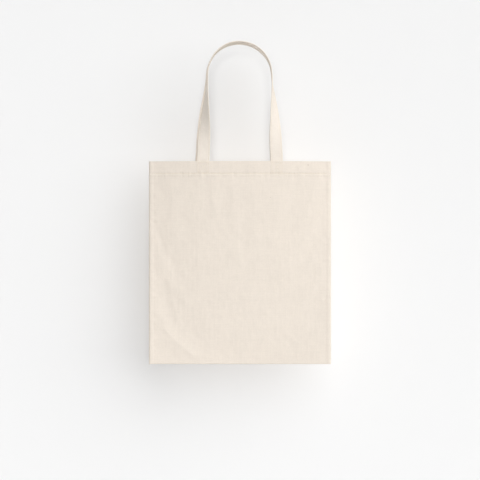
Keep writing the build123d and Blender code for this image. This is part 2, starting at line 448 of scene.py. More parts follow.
def reach(x, z):
    """Distance from the bag's middle to the outside of a panel, before the cloth creases.

    The panels bow apart towards the mouth, and come together at the side seams.
    """
    rise = np.clip((z - FOLD_TOP) / (RIM - FOLD_TOP), 1e-4, 1)
    bow = (MOUTH_REACH - EDGE_REACH) * rise
    radius = (HALF_WIDTH**2 + bow**2) / (2 * bow)
    across = np.minimum(np.abs(x), HALF_WIDTH)
    outside = EDGE_REACH + bow - radius + np.sqrt(radius**2 - across**2)
    turn = 3.0 * MM
    into_turn = np.clip((across - HALF_WIDTH + turn) / turn, 0, 1)
    edge = CLOTH / 2 + 0.08 * MM
    return edge + (outside - edge) * np.sqrt(1 - into_turn**2)


def strap_anchors(side):
    """x of the middles of the left and right ends of one handle."""
    name = SIDES[side]
    ends = [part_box(f"{name}_{hand}_strap_end") for hand in HANDS.values()]
    return {hand: (low.x + high.x) / 2 for hand, (low, high) in zip(HANDS, ends)}


def strap_half_width():
    """Half the width of a strap, from its sewn-down end."""
    low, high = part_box("front_left_strap_end")
    return (high.x - low.x) / 2


def hang_cloth(slack):
    """Lets the body hang as cloth for a while, and returns how far each panel moved outwards.

    The body is one tube of cloth, open at the mouth. Its rim, side seams and bottom fold are held,
    and the cloth is a little larger than its frame, so it slackens and buckles as canvas does.
    """
    columns, rows = 56, 60
    xs = np.linspace(-HALF_WIDTH, HALF_WIDTH, columns + 1)
    zs = np.linspace(0, RIM, rows + 1)
    x_grid, z_grid = np.meshgrid(xs, zs)
    start = reach(x_grid, z_grid) - CLOTH / 2
    hold = 30 * MM  # how far in from the held edges the cloth is still held back
    free = smooth((HALF_WIDTH - np.abs(x_grid)) / hold) * smooth(z_grid / hold)
    vertices, index = [], {}
    for side in SIDES:
        shake = 0.8 * MM * soft_noise(x_grid, z_grid, 60 * MM, SEED["shake"] + side) * free
        for row in range(rows + 1):
            for column in range(columns + 1):
                key = (side, row, column)
                joined = row == 0 or column in (0, columns)
                if joined and side == REAR:
                    index[key] = index[(FRONT, row, column)]
                    continue
                index[key] = len(vertices)
                y = 0 if joined else side * (start[row, column] + shake[row, column])
                vertices.append((xs[column], y, zs[row]))
    faces = []
    for side in SIDES:
        for row in range(rows):
            for column in range(columns):
                corners = [(row, column), (row, column + 1), (row + 1, column + 1), (row + 1, column)]
                faces.append([index[(side, *corner)] for corner in corners[::-side]])
    mesh = bpy.data.meshes.new("hanging_cloth")
    mesh.from_pydata(vertices, [], faces)
    body = new_object("hanging_cloth", mesh)
    held = body.vertex_groups.new(name="held")
    for (side, row, column), vertex in index.items():
        if row in (0, rows) or column in (0, columns):
            held.add([vertex], 1.0, "REPLACE")
    modifier = body.modifiers.new("cloth", "CLOTH")
    settings = modifier.settings
    settings.quality = 6
    settings.mass = 0.15
    settings.tension_stiffness = settings.compression_stiffness = 20
    settings.shear_stiffness = 8
    settings.bending_stiffness = 1.5
    settings.air_damping = 4
    settings.vertex_group_mass = "held"
    settings.shrink_min = -slack
    modifier.collision_settings.use_collision = False
    scene = bpy.context.scene
    modifier.point_cache.frame_start = 1
    modifier.point_cache.frame_end = HANG_FRAMES
    for step in range(1, HANG_FRAMES + 1):
        scene.frame_set(step)
    evaluated = body.evaluated_get(bpy.context.evaluated_depsgraph_get())
    y = np.zeros(len(vertices) * 3)
    evaluated.data.vertices.foreach_get("co", y)
    y = y.reshape(-1, 3)[:, 1]
    moved = {}
    for side in SIDES:
        order = [[index[(side, row, column)] for column in range(columns + 1)] for row in range(rows + 1)]
        moved[side] = (side * y[np.array(order)] - start) * free
    scene.frame_set(1)
    bpy.data.objects.remove(body)
    bpy.data.meshes.remove(mesh)
    return xs, zs, moved


def resampled(xs, zs, values, new_xs, new_zs):
    """A coarse grid of values read smoothly at finer columns and rows."""
    fine_x, fine_z = (np.linspace(line[0], line[-1], 4 * len(line)) for line in (xs, zs))
    wide = np.array([np.interp(fine_x, xs, row) for row in values])
    tall = np.array([np.interp(fine_z, zs, column) for column in wide.T]).T
    kernel = np.array([1, 4, 8, 10, 8, 4, 1]) / 36
    for _ in range(2):
        for axis in (0, 1):
            padded = np.pad(tall, [(3, 3) if a == axis else (0, 0) for a in (0, 1)], mode="edge")
            tall = np.apply_along_axis(np.convolve, axis, padded, kernel, mode="valid")
    wide = np.array([np.interp(new_xs, fine_x, row) for row in tall])
    return np.array([np.interp(new_zs, fine_z, column) for column in wide.T]).T


def crease(x, z, start, end, width, depth):
    """A soft ridge along the line from start to end, in metres, fading out at both ends."""
    start, end = np.array(start), np.array(end)
    run = end - start
    length = np.linalg.norm(run)
    along = ((x - start[0]) * run[0] + (z - start[1]) * run[1]) / length
    across = ((x - start[0]) * run[1] - (z - start[1]) * run[0]) / length
    bend = 4 * MM * np.sin(along / (37 * MM))
    fade = smooth(along / (25 * MM)) * smooth((length - along) / (25 * MM))
    ridge = bell(across - bend, width) - 0.6 * bell(across - bend - 1.8 * width, 1.4 * width)
    return depth * fade * ridge


def cloth_relief(side, x, z):
    """How far the cloth stands out of its smooth shape: creases, puckers and what shows through."""
    seed = SEED["relief"] + 7 * side
    away_from_edge = smooth((HALF_WIDTH - np.abs(x)) / (14 * MM)) * smooth(z / (12 * MM))
    relief = np.zeros_like(x)
    for start, end, width, depth in CREASES[side]:
        relief += CREASE_SHARE * crease(x, z, start, end, width * MM, depth * MM)
    relief += 0.12 * MM * soft_noise(x, z, 15 * MM, seed)
    relief += 0.07 * MM * soft_noise(x, z, 6 * MM, seed + 1)
    relief *= away_from_edge

    # The cloth puckers between stitches, along the hem's row and beside the side seams.
    below_hem = np.clip(HEM_ROW - z, 0, None)
    hem_pucker = np.where(z > HEM_ROW, bell(z - HEM_ROW, 4 * MM), bell(below_hem, 9 * MM))
    relief += 0.22 * MM * soft_noise(x, z / 5, 4.2 * MM, seed + 2) * hem_pucker * away_from_edge
    from_seam = HALF_WIDTH - np.abs(x)
    seam_pucker = bell(from_seam - 9 * MM, 7 * MM)
    relief += 0.20 * MM * soft_noise(x / 5, z, 5.5 * MM, seed + 3) * seam_pucker

    # The hem's and the straps' layers show through as low steps, and stitches pull the cloth in.
    relief += 0.25 * MM * smooth((z - HEM_LOW + 1 * MM) / (2 * MM))
    relief -= 0.75 * MM * bell(z - HEM_ROW, 1.2 * MM) * smooth(from_seam / (6 * MM))
    relief += 0.30 * MM * bell(z - HEM_LOW, 1.6 * MM) * smooth(from_seam / (6 * MM))
    allowance = SEAM_HIGH.x - SEAM_LOW.x
    over_allowance = smooth((allowance - from_seam) / (1.6 * MM)) * smooth(from_seam / (3 * MM))
    relief += 0.45 * MM * over_allowance
    half = strap_half_width()
    for anchor in strap_anchors(side).values():
        inside = smooth((half + 1 * MM - np.abs(x - anchor)) / (2 * MM))
        inside *= smooth((z - STRAP_LOW + 1 * MM) / (2 * MM))
        relief += 0.30 * MM * inside
        from_box = np.abs(x - anchor) - (half - 2.5 * MM)
        relief -= 0.30 * MM * bell(from_box, 0.9 * MM) * inside
    # At the side edges both panels are sewn into one seam, and nothing stands out.
    return relief * smooth(from_seam / (2.5 * MM))


def shape_cloth(wrinkle_depth, slack):
    """Works out each panel's outer face and keeps it in SURFACE, for all that lies on it."""
    half = strap_half_width()
    edges = set()
    for side in SIDES:
        for anchor in strap_anchors(side).values():
            edges.update(round(abs(anchor) + step, 4) for step in (-half, half))
    # Columns stand closer beside the side seam and the straps' edges, but never too close.
    seam_step, strap_step, near, closest = 0.5 * MM, 1.1 * MM, 2.5 * MM, 0.28 * MM
    right = spaced(0, HALF_WIDTH, CLOTH_STEP, seam_step, [HALF_WIDTH], near)
    by_straps = spaced(0, HALF_WIDTH, CLOTH_STEP, strap_step, sorted(edges), near)
    right = np.union1d(right, by_straps[1:-1])
    keep = np.concatenate([[True], np.diff(right) > closest])
    keep[-1] = True
    right = right[keep]
    xs = np.concatenate([-right[:0:-1], right])
    places = [HEM_ROW, HEM_LOW, STRAP_LOW]
    zs = spaced(BOTTOM_SPLIT, ROLL_HEIGHT, CLOTH_STEP, HEM_STEP, places, HEM_REACH)
    x, z = np.meshgrid(xs, zs)
    coarse_xs, coarse_zs, coarse = hang_cloth(slack)
    moved = {side: resampled(coarse_xs, coarse_zs, coarse[side], xs, zs) for side in SIDES}
    for side in SIDES:
        smooth_reach = reach(x, z)
        sway = np.clip(wrinkle_depth * moved[side], -5 * MM, 5 * MM)
        room = np.maximum(smooth_reach - CLOTH - 1.0 * MM, 0.1 * MM)
        sway = np.where(sway < 0, -room * np.tanh(-sway / room), sway)
        SURFACE[side] = (xs, zs, smooth_reach + sway + cloth_relief(side, x, z))


def outside(side, x, z):
    """Distance from the bag's middle to the panel's creased outer face, at any x and z."""
    xs, zs, values = SURFACE[side]
    x, z = np.broadcast_arrays(np.asarray(x, float), np.asarray(z, float))
    column = np.clip(np.searchsorted(xs, x) - 1, 0, len(xs) - 2)
    row = np.clip(np.searchsorted(zs, z) - 1, 0, len(zs) - 2)
    u = np.clip((x - xs[column]) / (xs[column + 1] - xs[column]), 0, 1)
    v = np.clip((z - zs[row]) / (zs[row + 1] - zs[row]), 0, 1)
    low = values[row, column] * (1 - u) + values[row, column + 1] * u
    high = values[row + 1, column] * (1 - u) + values[row + 1, column + 1] * u
    return low * (1 - v) + high * v


def sheet_path():
    """The middle of the cloth in depth and height: up the panel, over the rim and twice in.

    Returns its points, its normals that point to the cloth's face, and the row where the hem starts.
    """
    _, zs, _ = SURFACE[FRONT]
    middle = CLOTH / 2
    points = [(middle, z) for z in zs[:-1]]
    normals = [(-1.0, 0.0)] * len(points)
    hem_row = len(points) + ROLL_STEPS // 2  # the top of the roll
    for angle in np.linspace(0, pi, ROLL_STEPS + 1):
        points.append((middle + ROLL_RADIUS * (1 - cos(angle)), ROLL_HEIGHT + ROLL_RADIUS * sin(angle)))
        normals.append((-cos(angle), sin(angle)))
    tuck_radius = CLOTH / 2 + 0.03 * MM
    turn_z = HEM_LOW + tuck_radius + CLOTH / 2
    inner = middle + 2 * ROLL_RADIUS
    roll_end = ROLL_HEIGHT - 1.5 * MM
    for z in spaced(turn_z, roll_end, CLOTH_STEP, HEM_STEP, [HEM_ROW], HEM_REACH)[::-1]:
        points.append((inner, z))
        normals.append((1.0, 0.0))
    for angle in np.linspace(0, pi, 9)[1:]:
        points.append((inner - tuck_radius * (1 - cos(angle)), turn_z - tuck_radius * sin(angle)))
        normals.append((cos(angle), -sin(angle)))
    for z in np.linspace(turn_z, ROLL_HEIGHT - 3 * MM, 9)[1:]:
        points.append((inner - 2 * tuck_radius, z))
        normals.append((-1.0, 0.0))
    return np.array(points), np.array(normals), hem_row


def thickness_share(xs):
    """How much of its thickness the cloth has at each x: it tapers to a round edge at the seams."""
    from_edge = HALF_WIDTH - np.abs(xs)
    return round_off(from_edge, CLOTH, 0.98)


def sheet_faces(side):
    """Both faces of one panel's whole sheet, with normals, its UV map and the hem's first row."""
    xs, _, _ = SURFACE[side]
    path, normals, hem_row = sheet_path()
    # At the side edges the cloth thins to a round edge, and the hem's layers press together.
    thick = thickness_share(xs)
    layer = np.clip((HALF_WIDTH - np.abs(xs) - 1 * MM) / (12 * MM), 0.04, 1)
    depth = path[:, :1] - CLOTH / 2
    height = path[:, 1:]
    grids = []
    for face in (1, -1):
        into = depth * layer + CLOTH / 2 + face * normals[:, :1] * thick * CLOTH / 2
        up = height + face * normals[:, 1:] * thick * CLOTH / 2
        x = np.broadcast_to(xs, up.shape)
        y = side * (outside(side, x, np.minimum(height, ROLL_HEIGHT)) - into)
        grids.append(np.stack([x, y, up], axis=2))
    run = running(np.linalg.norm(np.diff(path, axis=0), axis=1)) + BOTTOM_SPLIT
    return two_faces(*grids), uv_grid(xs, run), hem_row


def bend_with_panel(piece):
    """Bakes the piece's place into its mesh."""
    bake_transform(piece)


def make_body_cloth(material):
    """Both panels with their hems, each cut down the middle into two halves."""
    for side, side_name in SIDES.items():
        faces, uv, hem_row = sheet_faces(side)
        middle = uv.shape[1] // 2
        parts = {"panel": slice(0, hem_row + 1), "hem": slice(hem_row, None)}
        for hand, hand_name in HANDS.items():
            columns = slice(0, middle + 1) if hand == LEFT else slice(middle, None)
            for node, rows in parts.items():
                name = f"{side_name}_{node}_cloth_{hand_name}"
                half = part_of(faces, rows, columns)
                piece = sheet_piece(name, half, uv[rows, columns], material)
                bend_with_panel(piece)
                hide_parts(f"{side_name}_{node}")


def make_bottom_fold(material):
    """The cloth's turn round the bottom, from one panel's lower edge to the other's."""
    xs, _, _ = SURFACE[FRONT]
    radius = EDGE_REACH - CLOTH / 2
    centre = EDGE_REACH
    climb = np.linspace(BOTTOM_SPLIT, centre, 4)[:-1]
    turn = np.linspace(0, pi, 15)
    y = np.concatenate([np.full(3, -1.0), -np.cos(turn), np.full(3, 1.0)])
    z = np.concatenate([climb, centre - radius * np.sin(turn), climb[::-1]])
    down = np.concatenate([np.zeros(3), -np.sin(turn), np.zeros(3)])
    grids = []
    for face in (1, -1):
        shift = face * CLOTH / 2 * thickness_share(xs)
        wide = [outside(side, xs, BOTTOM_SPLIT) - CLOTH / 2 for side in (FRONT, REAR)]
        share = ((y + 1) / 2)[:, None]
        across = (wide[0] * (1 - share) + wide[1] * share) * y[:, None] + shift * y[:, None]
        up = z[:, None] + shift * down[:, None]
        grids.append(np.stack([np.broadcast_to(xs, across.shape), across, up], axis=2))
    uv = uv_grid(xs, BOTTOM_SPLIT - running(np.hypot(np.diff(y) * radius, np.diff(z))))
    piece = sheet_piece("bottom_fold_cloth", two_faces(*grids), uv, material)
    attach(piece, "seams")
    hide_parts("bottom_fold")


def make_side_seams(material):
    """The seams' turned-in allowances: two layers of cloth, pressed flat, a little wavy."""
    zs = np.arange(SEAM_LOW.z, SEAM_HIGH.z - 1 * MM, 3 * MM)
    for hand, hand_name in HANDS.items():
        # The allowance ends just short of the seam's fold, and thins towards it.
        inner, outer = SEAM_LOW.x, SEAM_HIGH.x - 1.2 * MM
        across = np.concatenate([[inner, inner + 0.15 * MM], np.linspace(inner + 0.5 * MM, outer, 7)])
        half = SEAM_HIGH.y * np.array([0.25, 0.75] + [1] * 4 + [0.8, 0.6, 0.4])
        x, z = np.meshgrid(hand * across, zs)
        wave = 0.12 * MM * soft_noise(x, z, 9 * MM, SEED["allowance"] + hand)
        wave = wave * smooth((outer - np.abs(x)) / (6 * MM))
        faces = two_faces(
            *(np.stack([x, wave + face * np.broadcast_to(half, x.shape), z], axis=2) for face in (1, -1))
        )
        piece = sheet_piece(f"{hand_name}_seam_allowance", faces, np.stack([x, z], axis=2), material)
        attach(piece, "seams")
        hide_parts(f"{hand_name}_side_seam")


# ---------------------------------------------------------------- the handles


def strap_line(side):
    """A whole strap from one sewn-down end to the other.

    Returns, for each row along it: its place, the way its width runs, the way its outer face looks,
    the length so far, and how far it is above the rim.
    """
    anchors = strap_anchors(side)
    spacing = anchors[RIGHT] - anchors[LEFT]
    middle = (anchors[RIGHT] + anchors[LEFT]) / 2
    rise = HANDLE_TOP - STRAP_THICKNESS / 2 - RIM
    radius = (spacing / 2 - rise * tan(LEG_LEAN)) / (1 / cos(LEG_LEAN) - tan(LEG_LEAN))
    leg = (rise - radius + radius * sin(LEG_LEAN)) / cos(LEG_LEAN)
    seat = reach(spacing / 2, RIM) - STRAP_DEPTH
    crown_depth = strap_half_width() + CROWN_GAP / 2
    arc = radius * (pi - 2 * LEG_LEAN)
    tail = RIM - STRAP_LOW
    total = 2 * (tail + leg) + arc
    fine = [tail + 9 * MM, total - tail - 9 * MM]
    lengths = spaced(0, total, 2.6 * MM, 0.9 * MM, fine, 12 * MM)
    random_seed = SEED["sway"] + side
    rows = []
    for length in lengths:
        hand = LEFT if length < total / 2 else RIGHT
        climb = (length if hand == LEFT else total - length) - tail
        share = min(max(climb / leg, 0), 1)
        ease = float(smooth(share))
        turn = pi / 2 * ease
        if climb <= leg:
            lean = LEG_LEAN * float(smooth(climb / (20 * MM)))
            along = Vector((-hand * sin(lean), 0, cos(lean)))
            place = Vector((anchors[hand], 0, RIM))
            place += Vector((-hand * sin(LEG_LEAN), 0, cos(LEG_LEAN))) * max(climb, 0)
            place.z += min(climb, 0)
        else:
            angle = LEG_LEAN + (climb - leg) / radius
            along = Vector((-hand * sin(angle), 0, cos(angle)))
            centre = Vector((middle, 0, RIM + rise - radius))
            place = centre + Vector((hand * radius * cos(angle), 0, radius * sin(angle)))
        place.y = side * (seat + (crown_depth - seat) * ease)
        # Cloth is never quite straight: it sways more the higher it stands.
        loose = float(smooth((climb - 25 * MM) / (90 * MM)))
        sway = soft_noise(np.array(length), np.array(0.3 * side), 95 * MM, random_seed)
        place.x += float(1.1 * MM * loose * sway)
        inward = Vector((-hand * along.z, 0, hand * along.x))
        twist = float(0.10 * loose * soft_noise(np.array(length), np.array(0.0), 70 * MM, random_seed + 5))
        angle = turn + twist
        width = inward * cos(angle) + Vector((0, side, 0)) * sin(angle)
        out = Vector((0, side, 0)) * cos(angle) - inward * sin(angle)
        rows.append((place, width, out, length, climb))
    return rows


def strap_points(side, across, height):
    """Points of a strap at offsets across its width and above its middle, one row per place along.

    The sewn-down ends lie on the hem and follow the panel, and the strap leaves it just above.
    """
    grid = []
    for place, width, out, _, climb in strap_line(side):
        row = np.array(place) + np.outer(across, np.array(width)) + np.outer(height, np.array(out))
        # Below the rim the width runs along x.
        hold = 1 - float(smooth(climb / (14 * MM)))
        if hold > 0:
            z = np.minimum(row[:, 2], ROLL_HEIGHT)
            seated = side * (outside(side, row[:, 0], z) - STRAP_DEPTH + height)
            row[:, 1] = row[:, 1] * (1 - hold) + seated * hold
        grid.append(row)
    return np.array(grid)


def make_straps(material):
    """Each handle and its two sewn-down ends as one strap: canvas folded to four layers."""
    half = strap_half_width()
    # Columns across the strap stand closer at its round edge and beside the dip of its row.
    side_points = np.array([0, 0.12, 0.4, 0.8, 1.5, 2.3, 2.7, 3.0, 3.3, 3.7, 5.0]) * MM
    plain_middle = half - 7.5 * MM
    middle_points = np.linspace(-plain_middle, plain_middle, 6)
    across = np.concatenate([side_points - half, middle_points, (half - side_points)[::-1]])
    from_edge = half - np.abs(across)
    round_edge = round_off(from_edge, 0.9 * MM, 0.97)
    dip = STRAP_ROW_DIP * bell(from_edge - STRAP_ROW_INSET, 0.7 * MM)
    height = STRAP_THICKNESS / 2 * round_edge - dip
    for side, side_name in SIDES.items():
        lengths = np.array([row[3] for row in strap_line(side)])
        fuzz = 0.10 * MM * soft_noise(across[None, :], lengths[:, None], 7 * MM, SEED["fuzz"] + side)
        fuzz = fuzz * smooth(from_edge / (1.5 * MM))
        outward = np.array([row[2] for row in strap_line(side)])
        fuzz = fuzz[:, :, None] * outward[:, None, :]
        faces = two_faces(*(strap_points(side, across, face * height) + fuzz for face in (1, -1)))
        strap = sheet_piece(f"{side_name}_strap", faces, uv_grid(across, lengths), material)
        bend_over_rim(strap)
        ends = [f"{side_name}_{hand_name}_strap_end" for hand_name in HANDS.values()]
        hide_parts(f"{side_name}_handle", *ends)


def bend_over_rim(piece):
    """Bakes the piece's place into its mesh."""
    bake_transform(piece)


# ---------------------------------------------------------------- stitches


def stitch_tree():
    """Geometry nodes that put one arched stitch on each point, along its thread."""
    tree = bpy.data.node_groups.new("sewn_stitches", "GeometryNodeTree")
    sockets = tree.interface
    sockets.new_socket("Geometry", in_out="INPUT", socket_type="NodeSocketGeometry")
    for name, value in (("Length", 2.6 * MM), ("Width", 0.5 * MM), ("Rise", 0.25 * MM)):
        socket = sockets.new_socket(name, in_out="INPUT", socket_type="NodeSocketFloat")
        socket.default_value = value
    sockets.new_socket("Seed", in_out="INPUT", socket_type="NodeSocketInt")
    sockets.new_socket("Material", in_out="INPUT", socket_type="NodeSocketMaterial")
    sockets.new_socket("Geometry", in_out="OUTPUT", socket_type="NodeSocketGeometry")

    add = partial(add_node, tree)
    entry = add("NodeGroupInput")
    size = {name: entry.outputs[name] for name in ("Length", "Width", "Rise")}
    half = add("ShaderNodeMath", {0: size["Length"], 1: 0.5}, operation="MULTIPLY")
    back = add("ShaderNodeMath", {0: half, 1: -1.0}, operation="MULTIPLY")
    top = add("ShaderNodeMath", {0: size["Rise"], 1: 2.0}, operation="MULTIPLY")
    sink = add("ShaderNodeMath", {0: size["Rise"], 1: -0.6}, operation="MULTIPLY")
    radius = add("ShaderNodeMath", {0: size["Width"], 1: 0.5}, operation="MULTIPLY")
    arch = add(
        "GeometryNodeCurveQuadraticBezier",
        {
            "Resolution": 5,
            "Start": add("ShaderNodeCombineXYZ", {"X": back, "Z": sink}),
            "Middle": add("ShaderNodeCombineXYZ", {"Z": top}),
            "End": add("ShaderNodeCombineXYZ", {"X": half, "Z": sink}),
        },
    )
    ring = add("GeometryNodeCurvePrimitiveCircle", {"Resolution": 6, "Radius": radius})
    thread = add("GeometryNodeCurveToMesh", {"Curve": arch, "Profile Curve": ring, "Fill Caps": True})
    along, out = (
        add("GeometryNodeInputNamedAttribute", {"Name": name}, data_type="FLOAT_VECTOR")
        for name in ("along", "out")
    )
    # Sewn by machine, but no two stitches come out quite alike.
    unlike = add(
        "FunctionNodeRandomValue",
        {0: (0.90, 0.88, 0.80), 1: (1.06, 1.10, 1.15), "Seed": entry.outputs["Seed"]},
        data_type="FLOAT_VECTOR",
    )
    turned = add(
        "FunctionNodeAxesToRotation", {0: along, 1: out}, primary_axis="X", secondary_axis="Z"
    )
    placed = add(
        "GeometryNodeInstanceOnPoints",
        {
            "Points": entry.outputs["Geometry"],
            "Instance": add("GeometryNodeSetShadeSmooth", {"Geometry": thread}),
            "Rotation": turned,
            "Scale": unlike,
        },
    )
    real = add("GeometryNodeRealizeInstances", {0: placed})
    inputs = {"Geometry": real, "Material": entry.outputs["Material"]}
    add("NodeGroupOutput", {0: add("GeometryNodeSetMaterial", inputs)})
    return tree


def sew(name, places, material, seed, length=2.7 * MM, width=0.5 * MM, rise=0.27 * MM):
    """A piece made of one stitch at each place: points, thread directions and outward directions."""
    points, along, out = (np.concatenate(list(part)) for part in zip(*places))
    mesh = bpy.data.meshes.new(name)
    mesh.from_pydata(points.tolist(), [], [])
    for attribute_name, values in (("along", along), ("out", out)):
        attribute = mesh.attributes.new(attribute_name, "FLOAT_VECTOR", "POINT")
        attribute.data.foreach_set("vector", values.astype(np.float32).ravel())
    piece = new_object(name, mesh)
    tree = bpy.data.node_groups.get("sewn_stitches") or stitch_tree()
    modifier = piece.modifiers.new("stitches", "NODES")
    modifier.node_group = tree
    sizes = {"Length": length, "Width": width, "Rise": rise, "Seed": seed, "Material": material}
    for item in tree.interface.items_tree:
        if item.in_out == "INPUT" and item.name in sizes:
            modifier[item.identifier] = sizes[item.name]
    evaluated = piece.evaluated_get(bpy.context.evaluated_depsgraph_get())
    sewn = bpy.data.meshes.new_from_object(evaluated)
    piece.modifiers.remove(modifier)
    piece.data = sewn
    bpy.data.meshes.remove(mesh)
    for attribute_name in ("along", "out"):
        if attribute_name in sewn.attributes:
            sewn.attributes.remove(sewn.attributes[attribute_name])
    sewn.name = name
    return piece


def stitched_line(points, outward, pitch):
    """Places for stitches a pitch apart along a line, on the side that outward points to."""
    run = running(np.linalg.norm(np.diff(points, axis=0), axis=1))
    at = np.arange(pitch / 2, run[-1], pitch)
    place, ahead, behind, out = (
        np.stack([np.interp(where, run, values[:, k]) for k in range(3)], axis=1)
        for where, values in (
            (at, points),
            (at + pitch / 3, points),
            (at - pitch / 3, points),
            (at, outward),
        )
    )
    along = ahead - behind
    along /= np.linalg.norm(along, axis=1, keepdims=True)
    out -= along * (out * along).sum(axis=1, keepdims=True)
    out /= np.linalg.norm(out, axis=1, keepdims=True)
    return place, along, out


def on_cloth(side, xs, zs, depth, face):
    """A line on a panel's cloth, depth behind its outer face, and the way that face points."""
    y = side * (outside(side, xs, zs) - depth)
    step = 1.5 * MM
    slope = (outside(side, xs + step, zs) - outside(side, xs - step, zs)) / (2 * step)
    points = np.stack([xs, y, zs], axis=1)
    outward = np.stack([-slope * face, np.full_like(xs, side * face), np.zeros_like(xs)], axis=1)
    return points, outward


def make_hem_stitches(material, pitch):
    """The hem's row: needle thread outside and bobbin thread inside, in the panel's two halves."""
    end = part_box("front_hem_stitches")[1].x
    half = strap_half_width()
    start, clear = 0.3 * MM, 0.5 * MM  # from the middle cut, and from each strap inside
    for side, side_name in SIDES.items():
        anchors = strap_anchors(side)
        for hand, hand_name in HANDS.items():
            outer = np.linspace(start, end, 240) * hand
            rows = [stitched_line(*on_cloth(side, outer, np.full_like(outer, HEM_ROW), 0, 1), pitch)]
            strap = abs(anchors[hand])
            for low, high in ((start, strap - half - clear), (strap + half + clear, end)):
                inner = np.linspace(low, high, 120) * hand
                z = np.full_like(inner, HEM_ROW)
                rows.append(stitched_line(*on_cloth(side, inner, z, HEM_DEPTH_INSIDE, -1), pitch))
            seed = SEED["hem"] + 2 * side + hand
            piece = sew(f"{side_name}_hem_stitches_{hand_name}", rows, material, seed)
            bend_with_panel(piece)
            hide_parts(f"{side_name}_hem_stitches")


def make_box_stitches(material, pitch):
    """A box with a cross through each strap's end, seen on the panel and on the strap inside."""
    for side, side_name in SIDES.items():
        for hand, hand_name in HANDS.items():
            node = f"{side_name}_{hand_name}_box_stitch"
            low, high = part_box(node)
            corners = [(low.x, low.z), (high.x, low.z), (high.x, high.z), (low.x, high.z)]
            lines = [(corners[i], corners[(i + 1) % 4]) for i in range(4)]
            lines += [(corners[0], corners[2]), (corners[1], corners[3])]
            rows = []
            for (x0, z0), (x1, z1) in lines:
                xs, zs = np.linspace(x0, x1, 30), np.linspace(z0, z1, 30)
                inside = STRAP_DEPTH + STRAP_THICKNESS / 2
                rows.append(stitched_line(*on_cloth(side, xs, zs, 0, 1), pitch))
                rows.append(stitched_line(*on_cloth(side, xs, zs, inside, -1), pitch))
            seed = SEED["box"] + 2 * side + hand
            piece = sew(node.replace("stitch", "stitches"), rows, material, seed)
            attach(piece, f"{side_name}_panel")
            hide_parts(node)


def make_strap_stitches(material, pitch):
    """Two rows along each strap, on both of its faces."""
    half = strap_half_width()
    for side, side_name in SIDES.items():
        outward = np.array([row[2] for row in strap_line(side)])
        rows = []
        for across in (STRAP_ROW_INSET - half, half - STRAP_ROW_INSET):
            for face in (1, -1):
                height = face * (STRAP_THICKNESS / 2 - STRAP_THREAD_SINK)
                line = strap_points(side, np.array([across]), np.array([height]))[:, 0]
                rows.append(stitched_line(line, face * outward, pitch))
        piece = sew(f"{side_name}_strap_stitches", rows, material, SEED["strap"] + side)
        bend_over_rim(piece)
        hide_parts(f"{side_name}_handle_stitches")


def make_seam_stitches(material, pitch):
    """The row of stitches through each side seam's allowances."""
    for hand, hand_name in HANDS.items():
        node = f"{hand_name}_seam_stitches"
        low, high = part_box(node)
        zs = np.linspace(low.z, high.z - 1 * MM, 200)
        x = (low.x + high.x) / 2 - hand * 1.6 * MM
        rows = []
        for face in (-1, 1):
            points = np.stack([np.full_like(zs, x), np.full_like(zs, face * 0.5 * MM), zs], axis=1)
            outward = np.zeros_like(points)
            outward[:, 1] = face
            rows.append(stitched_line(points, outward, pitch))
        piece = sew(f"{hand_name}_seam_thread", rows, material, SEED["seam"] + hand)
        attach(piece, "seams")
        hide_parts(node)


def make_overlock(material, pitch):
    """The overlock round each allowance's raw edge: slanted threads on both faces, and over it."""
    for hand, hand_name in HANDS.items():
        node = f"{hand_name}_overlock_thread"
        low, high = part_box(node)
        inner, outer = (low.x, high.x) if hand == RIGHT else (high.x, low.x)
        zs = np.arange(low.z + pitch, high.z - 2 * MM, pitch)
        reach_in = abs(outer - inner)
        rows = []
        for face in (-1, 1):
            points = np.stack(
                [np.full_like(zs, (inner + outer) / 2), np.full_like(zs, face * SEAM_HIGH.y), zs], axis=1
            )
            along = np.tile([hand * reach_in, 0, face * 0.45 * pitch], (len(zs), 1))
            along /= np.linalg.norm(along, axis=1, keepdims=True)
            outward = np.tile([0.0, face, 0.0], (len(zs), 1))
            rows.append((points, along, outward))
        wraps = sew(
            f"{hand_name}_overlock_wraps",
            rows,
            material,
            SEED["wraps"] + hand,
            length=reach_in,
            width=0.4 * MM,
            rise=0.15 * MM,
        )
        edge = np.stack([np.full_like(zs, inner + hand * 0.35 * MM), np.zeros_like(zs), zs], axis=1)
        along = np.tile([0.0, 0.85, 0.5], (len(zs), 1))
        outward = np.tile([-float(hand), 0.0, 0.0], (len(zs), 1))
        loops = sew(
            f"{hand_name}_overlock_loops",
            [(edge, along, outward)],
            material,
            SEED["loops"] + hand,
            length=2.2 * MM,
            width=0.4 * MM,
            rise=0.25 * MM,
        )
        for piece in (wraps, loops):
            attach(piece, "seams")
            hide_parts(node)


# ---------------------------------------------------------------- the stage


